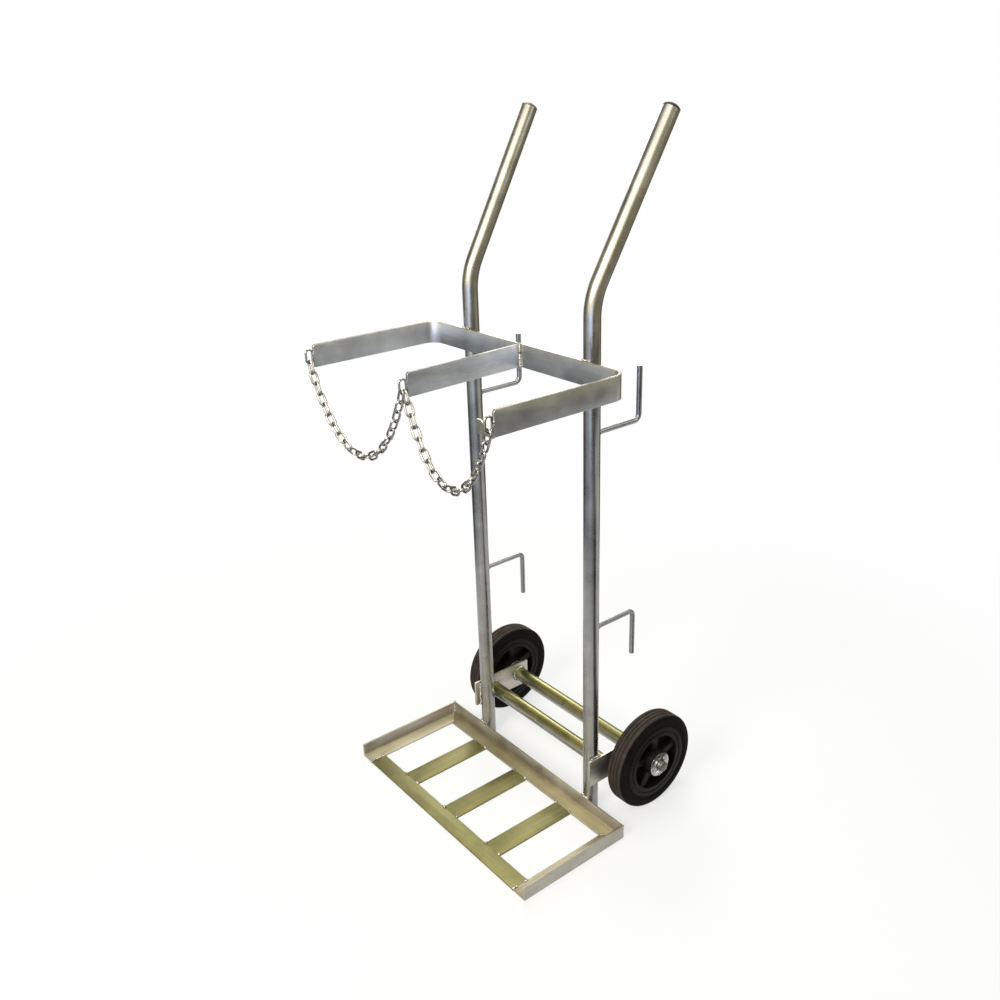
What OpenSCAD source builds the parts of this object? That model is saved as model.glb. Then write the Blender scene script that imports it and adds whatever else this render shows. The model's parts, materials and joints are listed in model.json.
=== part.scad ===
// Two-bottle welding cart: tubular uprights, a flat-bar bottle holder with two retaining chains,
// a slatted base of steel angle, hose hooks and two rubber-tyred wheels on one axle.
// Millimetres. +X is to the right wheel, +Y to the back, +Z up. The origin is on the floor, in the
// middle, level with the front faces of the uprights.

/* [Base] */
// Width of the base
base_w = 552; // [480:2:620]
// Depth of the base, from front to back
base_d = 250; // [200:2:320]
// Height of the standing leg of the steel angle
angle_up = 30; // [20:1:45]
// Width of the flat leg of the steel angle
angle_in = 33.5; // [24:0.5:45]
// Thickness of the steel angle
angle_t = 4; // [3:0.5:6]
// Width of the flat bar at the front of the base
front_flat_w = 35; // [25:1:50]
// Width of each slat
slat_w = 44; // [30:1:60]
// Thickness of the slats and of the front flat bar
slat_t = 4; // [3:0.5:6]
// Distance from the middle of one slat to the next
slat_pitch = 138; // [110:1:160]

/* [Uprights and handles] */
// Outside diameter of the round tube
tube_d = 30; // [25:1:38]
// Wall thickness of the round tube
tube_wall = 2.5; // [1.5:0.5:4]
// Distance between the middles of the two uprights
upright_spacing = 333; // [280:1:360]
// Height of the foot of each upright above the floor
foot_z = 2; // [0:0.5:15]
// Height of the start of the handle bend above the holder's top edge
bend_rise = 68; // [20:1:250]
// Radius of the handle bend, to the middle of the tube
bend_r = 120; // [70:5:200]
// Angle at which the handles lean back
handle_lean = 30; // [15:1:50]
// Angle by which the handles turn outwards, seen from above
handle_splay = 3.5; // [0:0.5:8]
// Length of the straight part of each handle
handle_len = 293; // [220:1:380]
// Amount by which the tube is slimmer in the bend than in its straight parts
bend_thinning = 0.1; // [0.05:0.05:0.5]
// Angle by which the bend reaches into the straight part of the handle
bend_lap = 0.25; // [0.15:0.05:1]
// Height of the dome on each handle plug
plug_dome = 6; // [3:0.5:12]
// Height of the plug's rim, which covers the end of the tube
plug_rim = 2; // [1:0.5:5]
// Length of the plug's stem inside the tube
plug_stem = 20; // [10:1:40]

/* [Bottle holder] */
// Width of the holder
holder_w = 536; // [500:2:600]
// Height of the top edge of the holder
holder_top_z = 928; // [820:1:945]
// Width of the flat bar
bar_w = 42; // [30:1:60]
// Thickness of the flat bar
bar_t = 5; // [4:0.5:8]
// Reach of the two side arms in front of the uprights
arm_reach = 273; // [230:1:320]
// Reach of the divider in front of the uprights
divider_reach = 253; // [210:1:268]
// Sideways offset of the divider's front end
divider_skew = 12; // [0:1:20]
// Outside radius of the holder's two back corners
holder_corner_r = 29; // [15:1:50]
// Radius at the top front corner of each flat bar
bar_tip_r = 5.5; // [2:0.5:12]

/* [Chain hook plate] */
// Width of the plate, inwards from the right arm
hook_plate_w = 37.5; // [28:0.5:50]
// Thickness of the plate
hook_plate_t = 4; // [3:0.5:6]
// Distance from the holder's top edge down to the plate's tip
hook_plate_drop = 23; // [15:0.5:30]
// Width of the raised tip
hook_plate_tip = 10; // [6:0.5:16]
// Depth of the notch between the tip and the arm
hook_plate_notch = 7.5; // [4:0.5:12]
// Distance by which the plate reaches below the flat bar
hook_plate_below = 3; // [0:0.5:8]

/* [Hose hooks] */
// Diameter of the round bar
hook_d = 10; // [8:0.5:14]
// Bend radius, to the middle of the bar
hook_bend_r = 12; // [9:0.5:20]
// Height of the two upper hooks
upper_hook_z = 796; // [700:1:850]
// Reach of the upper hooks behind the uprights
upper_hook_reach = 99; // [60:1:140]
// Length of the upper hooks' rising leg
upper_hook_leg = 99; // [50:1:110]
// Height of the two lower hooks
lower_hook_z = 411; // [330:1:500]
// Reach of the lower hooks behind the uprights
lower_hook_reach = 94; // [60:1:140]
// Length of the lower hooks' falling leg
lower_hook_leg = 95; // [50:1:110]

/* [Axle and brackets] */
// Distance of the axle behind the front faces of the uprights
axle_y = 120; // [110:1:160]
// Diameter of the axle
axle_d = 20; // [16:1:22]
// Thickness of each bracket plate
bracket_t = 5; // [4:0.5:8]
// Height of each bracket plate
bracket_h = 58; // [44:1:80]
// Distance by which the bracket plates pass the front of the uprights
bracket_front = 6; // [0:0.5:12]
// Distance by which the bracket plates pass the axle at the back
bracket_back = 23; // [18:1:40]
// Distance of the bracket's middle below the axle
bracket_low = 2; // [0:0.5:6]
// Height of the front cross tube
cross_tube_z = 95; // [85:1:110]
// Diameter of the spacer between each bracket plate and the wheel
spacer_d = 28; // [24:1:40]
// Length of that spacer
spacer_len = 8.2; // [6:0.1:30]
// Diameter of the large washers on both sides of the hubs
washer_d = 50; // [34:1:54]
// Thickness of the large washers
washer_t = 2.5; // [1.5:0.5:4]
// Diameter of the small end washers
end_washer_d = 31; // [25:1:34]
// Thickness of the small end washers
end_washer_t = 2; // [1:0.5:3]
// Diameter of the split pins
pin_d = 4; // [3:0.5:5]
// Length of the split pins, from the eye's seat to the tips
pin_len = 34; // [28:1:40]
// Outside diameter of the split pin's eye
pin_eye_d = 10; // [8:0.5:14]
// Angle at which each of the pin's tips is bent open
pin_tip_angle = 35; // [15:5:60]
// Turn of the split pins round the axle
pin_turn = 38; // [0:1:90]
// Length of axle left outside each split pin
axle_end = 5; // [3:0.5:12]

/* [Wheels] */
// Wheel diameter
wheel_d = 200; // [190:2:220]
// Tyre width over the side walls
tyre_w = 40; // [34:1:44]
// Tyre width across the tread
tread_w = 32; // [24:1:34]
// Width of the flat ring of each side wall next to the hub
side_wall_h = 9; // [4:0.5:14]
// Height of the rounded-off shoulder
shoulder_h = 3; // [1:0.5:5]
// Width of each tread groove
groove_w = 2.5; // [1:0.5:4]
// Depth of each tread groove
groove_h = 2.5; // [1:0.5:4]
// Distance between the tread grooves
groove_pitch = 8; // [5:0.5:9]
// Diameter of the hub's rim, on which the tyre sits
rim_d = 150; // [134:1:160]
// Diameter of the recess in the hub
recess_d = 114; // [90:1:124]
// Length of the hub
hub_len = 54; // [46:1:56]
// Diameter of the hub's boss
boss_d = 54; // [40:1:60]
// Thickness of the web between boss and rim
web_t = 6; // [4:0.5:10]
// Number of spokes
spoke_count = 5; // [3:1:8]
// Width of each spoke
spoke_w = 14; // [8:0.5:20]
// Depth by which the spokes lie below the rim's face
spoke_inset = 5; // [2:0.5:8]
// Width of the ring groove in the rim's face
rim_groove_w = 2; // [1:0.5:3]
// Depth of the ring groove in the rim's face
rim_groove_h = 1.5; // [0.5:0.5:3]

/* [Chains] */
// Diameter of the chain's wire
wire_d = 4; // [3:0.5:5]
// Length inside each link
link_len_in = 20.7; // [18:0.1:26]
// Side room for two wires inside a link
link_room = 1; // [0.8:0.1:2]
// Distance from the holder's top edge down to the middle of the outer anchor links
anchor_drop = 20.5; // [18:0.5:28]
// Number of links in the left chain with its two end links, an odd number
left_links = 21; // [19:2:25]
// Number of links in the right chain with its two end links, an odd number
right_links = 19; // [17:2:25]

/* [Clearances] */
// Running clearance of the hub's bore on the axle, on the radius
run_gap = 0.05; // [0.02:0.01:0.1]
// Play of each hub along the axle, on each side
side_play = 0.3; // [0.2:0.05:1]
// Clearance of the holes that only hold the axle, on the radius
hole_gap = 0.2; // [0.1:0.05:0.5]
// Clearance of the plug's stem in the tube, on the radius
plug_gap = 0.1; // [0.05:0.05:0.3]
// Clearance of the split pin in its hole, on the radius
pin_gap = 0.1; // [0.05:0.05:0.3]
// Gap between two linked chain wires
link_gap = 0.3; // [0.25:0.05:0.6]
// Gap between each end link and the chain that swings in it
swing_gap = 0.6; // [0.5:0.05:0.8]
// Gap between the two end links that share the middle anchor link
pair_gap = 0.5; // [0.4:0.05:0.6]
// Gap between those two end links and the middle anchor link
seat_gap = 0.15; // [0.1:0.01:0.2]

/* [Hidden] */

// Overrun of every cut
cut = 1;
// Facets of tubes and wheels, of bars and of chain wire
tube_fn = 64;
wheel_fn = 96;
wire_fn = 24;
// Steps of the search for the chains' curve, and the steepest curve it looks at
chain_steps = 40;
chain_steepest = 4;

upright_x = upright_spacing / 2;
upright_y = tube_d / 2;
tube_in_d = tube_d - 2 * tube_wall;
bracket_x = upright_x + tube_d / 2;
bracket_len = bracket_front + axle_y + bracket_back;
axle_z = wheel_d / 2;
spacer_x = bracket_x + bracket_t;
washer_in = spacer_x + spacer_len;
hub_in = washer_in + washer_t + side_play;
wheel_x = hub_in + hub_len / 2;
washer_out = hub_in + hub_len + side_play;
end_washer_x = washer_out + washer_t;
pin_x = end_washer_x + end_washer_t + pin_d / 2 + pin_gap;
axle_len = 2 * (pin_x + pin_d / 2 + axle_end);
bar_low_z = holder_top_z - bar_w;
bend_z = holder_top_z + bend_rise;
arm_x = holder_w / 2 - bar_t / 2;

link_w_in = 2 * wire_d + link_room;
link_side = (link_w_in + wire_d) / 2;
link_w_out = link_w_in + 2 * wire_d;
link_straight = link_len_in - link_w_in;
link_step = link_len_in - link_gap;
anchor_z = holder_top_z - anchor_drop;
chain_z = anchor_z - link_step / 2;
pair_side = (wire_d + pair_gap) / 2;
seat_room = link_w_in / 2 - wire_d / 2 - seat_gap;
seat_drop = sqrt(seat_room * seat_room - pair_side * pair_side);
middle_anchor_z = chain_z + (wire_d + link_gap) / 2 + link_straight / 2 + seat_drop;
arm_link_y = -arm_reach - link_w_out / 2;
divider_link_y = -divider_reach - link_w_out / 2;
left_from = [-arm_x, arm_link_y];
left_to = [divider_skew, divider_link_y - pair_side];
right_from = [divider_skew, divider_link_y + pair_side];
right_to = [arm_x, arm_link_y];

function total(v, i = 0) = i < len(v) ? v[i] + total(v, i + 1) : 0;
function slope(i, n, k) = atan((i - (n - 1) / 2) * k);
// Steepness at which a chain just spans the distance between its two anchor links. Each end link
// leans, and one of them holds its anchor link in the middle of its bow.
function lean(n, k) = (link_len_in - swing_gap) * cos(slope(0, n, k));
function hold(n, k) = (wire_d + link_gap) / 2 * cos(slope(0, n, k));
function way(from, to, n, k) = [to[0] - from[0] + hold(n, k) - 2 * lean(n, k), to[1] - from[1]];
function body(n, k) = link_step * total([for (i = [1 : n - 2]) cos(slope(i, n, k))]);
function steepness(from, to, n, low, high, steps) =
    steps == 0 ? (low + high) / 2 :
    let (middle = (low + high) / 2)
    body(n, middle) > norm(way(from, to, n, middle)) ? steepness(from, to, n, middle, high, steps - 1)
        : steepness(from, to, n, low, middle, steps - 1);
// Joints of one chain: both ends of its first end link, those of the links that swing, and both ends
// of its last end link. The end links hang straight across the cart, and the rest of the chain lies
// in one upright plane between them. The outer end is the first (1) or the last (0).
function joints(from, to, n, outer_first) =
    let (k = steepness(from, to, n, 0, chain_steepest, chain_steps))
    let (start = slope(0, n, k))
    let (unit = way(from, to, n, k) / norm(way(from, to, n, k)))
    let (a = [from[0] - outer_first * hold(n, k), from[1], chain_z])
    let (b = [to[0] + (1 - outer_first) * hold(n, k), to[1], chain_z])
    let (step = link_len_in - swing_gap)
    let (a_end = a + link_step * [cos(start), 0, sin(start)])
    let (a_body = a + step * [cos(start), 0, sin(start)])
    let (b_end = b - link_step * [cos(start), 0, -sin(start)])
    concat([a, a_end],
        [for (m = [0 : n - 2])
            let (run = link_step * total([for (i = [1 : 1 : m]) cos(slope(i, n, k))]))
            let (rise = link_step * total([for (i = [1 : 1 : m]) sin(slope(i, n, k))]))
            a_body + [unit[0] * run, unit[1] * run, rise]],
        [b_end, b]);

left_joints = joints(left_from, left_to, left_links, 1);
right_joints = joints(right_from, right_to, right_links, 0);
echo(left_joints = left_joints);
echo(right_joints = right_joints);

module both_sides() {
    children();
    mirror([1, 0, 0]) children();
}

// Right upright and handle as one solid bar, made longer at both ends by over
module upright_bar(d, over) {
    translate([upright_x, upright_y, 0]) rotate([0, 0, -handle_splay]) {
        translate([0, 0, foot_z - over])
            cylinder(h = bend_z - foot_z + over, d = d, $fn = tube_fn);
        translate([0, bend_r, bend_z]) rotate([90, 0, -90])
            rotate_extrude(angle = handle_lean + bend_lap, $fn = wheel_fn)
                translate([bend_r, 0]) circle(d = d - bend_thinning, $fn = tube_fn);
        handle_place() cylinder(h = handle_len + over, d = d, $fn = tube_fn);
    }
}

module handle_place() {
    translate([0, bend_r * (1 - cos(handle_lean)), bend_z + bend_r * sin(handle_lean)])
        rotate([-handle_lean, 0, 0]) children();
}

module right_tube() {
    color("silver") difference() {
        upright_bar(tube_d, 0);
        upright_bar(tube_in_d, cut);
    }
}

module left_upright() {
    mirror([1, 0, 0]) right_tube();
}

module right_upright() {
    right_tube();
}

// Plug seen from its seat on the tube's end: stem, rim and low dome
module handle_plug() {
    dome_r = (tube_d * tube_d / 4 + plug_dome * plug_dome) / (2 * plug_dome);
    color([0.05, 0.05, 0.05])
    translate([upright_x, upright_y, 0]) rotate([0, 0, -handle_splay]) handle_place()
        translate([0, 0, handle_len]) {
            translate([0, 0, -plug_stem])
                cylinder(h = plug_stem, d = tube_in_d - 2 * plug_gap, $fn = tube_fn);
            cylinder(h = plug_rim, d = tube_d, $fn = tube_fn);
            translate([0, 0, plug_rim]) intersection() {
                translate([0, 0, plug_dome - dome_r]) sphere(r = dome_r, $fn = wheel_fn);
                cylinder(h = plug_dome, d = tube_d, $fn = tube_fn);
            }
        }
}

module left_handle_plug() {
    mirror([1, 0, 0]) handle_plug();
}

module right_handle_plug() {
    handle_plug();
}

// Back angle, mitred at both ends, with its standing leg against the uprights
module base_back_angle() {
    color([0.62, 0.6, 0.55]) {
        linear_extrude(angle_up)
            polygon([[-base_w / 2, 0], [base_w / 2, 0],
                [base_w / 2 - angle_t, -angle_t], [angle_t - base_w / 2, -angle_t]]);
        linear_extrude(angle_t)
            polygon([[-base_w / 2, 0], [base_w / 2, 0],
                [base_w / 2 - angle_in, -angle_in], [angle_in - base_w / 2, -angle_in]]);
    }
}

// Right side angle, mitred at the back and cut square at the front
module side_angle() {
    color([0.62, 0.6, 0.55]) {
        linear_extrude(angle_up)
            polygon([[base_w / 2, 0], [base_w / 2, -base_d],
                [base_w / 2 - angle_t, -base_d], [base_w / 2 - angle_t, -angle_t]]);
        linear_extrude(angle_t)
            polygon([[base_w / 2, 0], [base_w / 2, -base_d],
                [base_w / 2 - angle_in, -base_d], [base_w / 2 - angle_in, -angle_in]]);
    }
}

module base_left_angle() {
    mirror([1, 0, 0]) side_angle();
}

module base_right_angle() {
    side_angle();
}

module base_front_flat() {
    color([0.56, 0.55, 0.4])
    translate([angle_in - base_w / 2, -base_d, 0])
        cube([base_w - 2 * angle_in, front_flat_w, slat_t]);
}

module slat(place) {
    color([0.56, 0.55, 0.4])
    translate([place * slat_pitch - slat_w / 2, front_flat_w - base_d, 0])
        cube([slat_w, base_d - front_flat_w - angle_in, slat_t]);
}

module base_left_slat() {
    slat(-1);
}

module base_middle_slat() {
    slat(0);
}

module base_right_slat() {
    slat(1);
}

// Plan of a plate with two round back corners, inset from the holder's outer edge
module hoop_plan(inset, over) {
    r = holder_corner_r - inset;
    half = holder_w / 2 - inset;
    translate([-half, -arm_reach - over])
        square([2 * half, arm_reach + over - holder_corner_r]);
    translate([r - half, -holder_corner_r])
        square([2 * (half - r), r]);
    for (side = [-1, 1])
        translate([side * (half - r), -holder_corner_r]) circle(r = r, $fn = tube_fn);
}

// Cut that rounds the top front corner of a flat bar whose end is at this reach
module tip_cut(reach) {
    translate([0, -reach, holder_top_z]) difference() {
        translate([-holder_w / 2 - cut, -cut, -bar_tip_r])
            cube([holder_w + 2 * cut, bar_tip_r + cut, bar_tip_r + cut]);
        translate([-holder_w / 2 - 2 * cut, bar_tip_r, -bar_tip_r]) rotate([0, 90, 0])
            cylinder(h = holder_w + 4 * cut, r = bar_tip_r, $fn = wire_fn);
    }
}

module holder_hoop() {
    color([0.62, 0.62, 0.62]) difference() {
        translate([0, 0, bar_low_z]) linear_extrude(bar_w) difference() {
            hoop_plan(0, 0);
            hoop_plan(bar_t, cut);
        }
        tip_cut(arm_reach);
    }
}

module holder_divider() {
    color([0.62, 0.62, 0.62]) difference() {
        translate([0, 0, bar_low_z]) linear_extrude(bar_w)
            polygon([[-bar_t / 2, -bar_t], [bar_t / 2, -bar_t],
                [divider_skew + bar_t / 2, -divider_reach], [divider_skew - bar_t / 2, -divider_reach]]);
        tip_cut(divider_reach);
    }
}

// Notched plate across the inside of the right arm's front end
module chain_hook_plate() {
    arm_in = holder_w / 2 - bar_t;
    tip_z = holder_top_z - hook_plate_drop;
    foot = bar_low_z - hook_plate_below;
    color([0.6, 0.6, 0.6])
    translate([0, hook_plate_t - arm_reach, 0]) rotate([90, 0, 0]) linear_extrude(hook_plate_t)
        polygon([[arm_in, foot], [arm_in, tip_z - hook_plate_notch],
            [arm_in - (hook_plate_w - hook_plate_tip) / 2, tip_z - hook_plate_notch],
            [arm_in - hook_plate_w + hook_plate_tip, tip_z], [arm_in - hook_plate_w, tip_z],
            [arm_in - hook_plate_w, foot]]);
}

// Round bar bent square, coped to the back of the right upright, with its leg going up
module hose_hook(reach, leg) {
    color("silver") translate([upright_x, 0, 0]) difference() {
        union() {
            translate([0, upright_y, 0]) rotate([-90, 0, 0])
                cylinder(h = tube_d / 2 + reach - hook_bend_r, d = hook_d, $fn = wire_fn);
            translate([0, tube_d + reach - hook_bend_r, hook_bend_r]) rotate([0, 90, 0])
                rotate_extrude(angle = 90, $fn = tube_fn)
                    translate([hook_bend_r, 0]) circle(d = hook_d, $fn = wire_fn);
            translate([0, tube_d + reach, hook_bend_r])
                cylinder(h = leg - hook_bend_r, d = hook_d, $fn = wire_fn);
        }
        translate([0, upright_y, -hook_d])
            cylinder(h = 2 * hook_d, d = tube_d, $fn = tube_fn);
    }
}

module upper_hook() {
    translate([0, 0, upper_hook_z]) hose_hook(upper_hook_reach, upper_hook_leg);
}

module lower_hook() {
    translate([0, 0, lower_hook_z]) mirror([0, 0, 1]) hose_hook(lower_hook_reach, lower_hook_leg);
}

module left_upper_hook() {
    mirror([1, 0, 0]) upper_hook();
}

module right_upper_hook() {
    upper_hook();
}

module left_lower_hook() {
    mirror([1, 0, 0]) lower_hook();
}

module right_lower_hook() {
    lower_hook();
}

// Straight piece along the axle: from x, this long, this thick, with a hole
module on_axle(x, len, d, hole) {
    translate([x, axle_y, axle_z]) rotate([0, 90, 0]) difference() {
        cylinder(h = len, d = d, $fn = tube_fn);
        translate([0, 0, -cut]) cylinder(h = len + 2 * cut, d = hole, $fn = tube_fn);
    }
}

// Right bracket plate with its hole for the axle
module bracket_plate() {
    color([0.6, 0.6, 0.58]) difference() {
        translate([bracket_x, -bracket_front, axle_z - bracket_low - bracket_h / 2])
            cube([bracket_t, bracket_len, bracket_h]);
        translate([bracket_x - cut, axle_y, axle_z]) rotate([0, 90, 0])
            cylinder(h = bracket_t + 2 * cut, d = axle_d + 2 * hole_gap, $fn = tube_fn);
    }
}

module left_axle_bracket() {
    mirror([1, 0, 0]) bracket_plate();
}

module right_axle_bracket() {
    bracket_plate();
}

module front_cross_tube() {
    color("silver") translate([-bracket_x, tube_d + tube_d / 2, cross_tube_z]) rotate([0, 90, 0])
        difference() {
            cylinder(h = 2 * bracket_x, d = tube_d, $fn = tube_fn);
            translate([0, 0, -cut]) cylinder(h = 2 * bracket_x + 2 * cut, d = tube_in_d, $fn = tube_fn);
        }
}

module axle_tube() {
    color("silver") on_axle(-bracket_x, 2 * bracket_x, tube_d, tube_in_d);
}

// Places what lies across the axle at both split pins
module pin_places() {
    both_sides() translate([pin_x, axle_y, axle_z]) rotate([-pin_turn, 0, 0]) children();
}

module axle() {
    color([0.7, 0.7, 0.7]) difference() {
        translate([-axle_len / 2, axle_y, axle_z]) rotate([0, 90, 0])
            cylinder(h = axle_len, d = axle_d, $fn = tube_fn);
        pin_places() translate([0, 0, -axle_d])
            cylinder(h = 2 * axle_d, d = pin_d + 2 * pin_gap, $fn = wire_fn);
    }
}

module axle_spacers() {
    color([0.7, 0.7, 0.7])
        both_sides() on_axle(spacer_x, spacer_len, spacer_d, axle_d + 2 * hole_gap);
}

module hub_washers() {
    color([0.85, 0.85, 0.85]) both_sides() {
        on_axle(washer_in, washer_t, washer_d, axle_d + 2 * hole_gap);
        on_axle(washer_out, washer_t, washer_d, axle_d + 2 * hole_gap);
    }
}

module end_washers() {
    color([0.8, 0.8, 0.8])
        both_sides() on_axle(end_washer_x, end_washer_t, end_washer_d, axle_d + 2 * hole_gap);
}

// Split pins: eye, shank through the axle and two opened tips
module split_pins() {
    eye_wire = pin_d / 2;
    eye_r = (pin_eye_d - eye_wire) / 2;
    shank_top = axle_d / 2 + pin_d / 2;
    tip = pin_len - axle_d - pin_d;
    color([0.85, 0.85, 0.85]) pin_places() {
        translate([0, 0, shank_top - axle_d - pin_d])
            cylinder(h = axle_d + pin_d, d = pin_d, $fn = wire_fn);
        translate([0, 0, shank_top + eye_r]) rotate([0, 90, 0])
            rotate_extrude($fn = tube_fn) translate([eye_r, 0]) circle(d = eye_wire, $fn = wire_fn);
        for (side = [-1, 1])
            translate([0, side * eye_wire / 2, shank_top - axle_d - pin_d])
                rotate([180 + side * pin_tip_angle, 0, 0])
                    cylinder(h = tip, d = eye_wire, $fn = wire_fn);
    }
}

// Hub round the local Z axis, the same seen from both ends
module hub_shape() {
    difference() {
        union() {
            cylinder(h = hub_len, d = boss_d, center = true, $fn = wheel_fn);
            cylinder(h = web_t, d = (rim_d + recess_d) / 2, center = true, $fn = wheel_fn);
            difference() {
                cylinder(h = tyre_w, d = rim_d, center = true, $fn = wheel_fn);
                cylinder(h = tyre_w + 2 * cut, d = recess_d, center = true, $fn = wheel_fn);
                for (side = [-1, 1]) translate([0, 0, side * tyre_w / 2]) rim_groove();
            }
            for (i = [0 : spoke_count - 1]) rotate([0, 0, (i + 1 / 2) * 360 / spoke_count])
                translate([0, -spoke_w / 2, spoke_inset - tyre_w / 2])
                    cube([(rim_d + recess_d) / 4, spoke_w, tyre_w - 2 * spoke_inset]);
        }
        cylinder(h = hub_len + 2 * cut, d = axle_d + 2 * run_gap, center = true, $fn = wheel_fn);
    }
}

module rim_groove() {
    middle = (rim_d + recess_d) / 4;
    difference() {
        cylinder(h = 2 * rim_groove_h, r = middle + rim_groove_w / 2, center = true, $fn = wheel_fn);
        cylinder(h = 2 * rim_groove_h + 2 * cut, r = middle - rim_groove_w / 2, center = true,
            $fn = wheel_fn);
    }
}

// Tyre round the local Z axis
module tyre_shape() {
    r = wheel_d / 2;
    rim_r = rim_d / 2;
    rotate_extrude($fn = wheel_fn) difference() {
        polygon([[rim_r, -tyre_w / 2], [rim_r + side_wall_h, -tyre_w / 2],
            [r - shoulder_h, -tread_w / 2], [r, shoulder_h - tread_w / 2],
            [r, tread_w / 2 - shoulder_h], [r - shoulder_h, tread_w / 2],
            [rim_r + side_wall_h, tyre_w / 2], [rim_r, tyre_w / 2]]);
        for (i = [-1 : 1])
            translate([r - groove_h, i * groove_pitch - groove_w / 2]) square([groove_h + cut, groove_w]);
    }
}

module wheel_place() {
    translate([wheel_x, axle_y, axle_z]) rotate([0, 90, 0]) children();
}

module left_hub() {
    color([0.07, 0.07, 0.07]) mirror([1, 0, 0]) wheel_place() hub_shape();
}

module right_hub() {
    color([0.07, 0.07, 0.07]) wheel_place() hub_shape();
}

module left_tyre() {
    color([0.16, 0.14, 0.13]) mirror([1, 0, 0]) wheel_place() tyre_shape();
}

module right_tyre() {
    color([0.16, 0.14, 0.13]) wheel_place() tyre_shape();
}

// One link, long along X and flat in the XY plane
module link() {
    for (side = [-1, 1]) {
        translate([-link_straight / 2, side * link_side, 0]) rotate([0, 90, 0])
            cylinder(h = link_straight, d = wire_d, $fn = wire_fn);
        translate([side * link_straight / 2, 0, 0]) rotate([0, 0, -side * 90])
            rotate_extrude(angle = 180, $fn = tube_fn)
                translate([link_side, 0]) circle(d = wire_d, $fn = wire_fn);
    }
}

// Puts a link between two joints, upright if it is an even one and lying flat if not
module link_between(a, b, number) {
    way = b - a;
    translate((a + b) / 2)
        rotate([0, -atan2(way[2], norm([way[0], way[1]])), atan2(way[1], way[0])])
            rotate([number % 2 == 0 ? 90 : 0, 0, 0]) link();
}

// Anchor link, upright in the plane of the flat bars
module anchor_link(x, y, z) {
    color("silver") translate([x, y, z]) rotate([0, -90, 0]) link();
}

module left_anchor_link() {
    anchor_link(-arm_x, arm_link_y, anchor_z);
}

module middle_anchor_link() {
    anchor_link(divider_skew, divider_link_y, middle_anchor_z);
}

module right_anchor_link() {
    anchor_link(arm_x, arm_link_y, anchor_z);
}

module chain_end_links() {
    color("silver") for (joint = [left_joints, right_joints]) {
        last = len(joint) - 1;
        link_between(joint[0], joint[1], 0);
        link_between(joint[last - 1], joint[last], 0);
    }
}

module chain(joint) {
    color("silver") for (i = [1 : len(joint) - 5]) link_between(joint[i + 1], joint[i + 2], i);
}

module left_chain() {
    chain(left_joints);
}

module right_chain() {
    chain(right_joints);
}

left_upright();
right_upright();
left_handle_plug();
right_handle_plug();
base_back_angle();
base_left_angle();
base_right_angle();
base_front_flat();
base_left_slat();
base_middle_slat();
base_right_slat();
holder_hoop();
holder_divider();
chain_hook_plate();
left_upper_hook();
right_upper_hook();
left_lower_hook();
right_lower_hook();
left_axle_bracket();
right_axle_bracket();
front_cross_tube();
axle_tube();
axle();
axle_spacers();
hub_washers();
end_washers();
split_pins();
left_hub();
right_hub();
left_tyre();
right_tyre();
left_anchor_link();
middle_anchor_link();
right_anchor_link();
chain_end_links();
left_chain();
right_chain();
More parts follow.
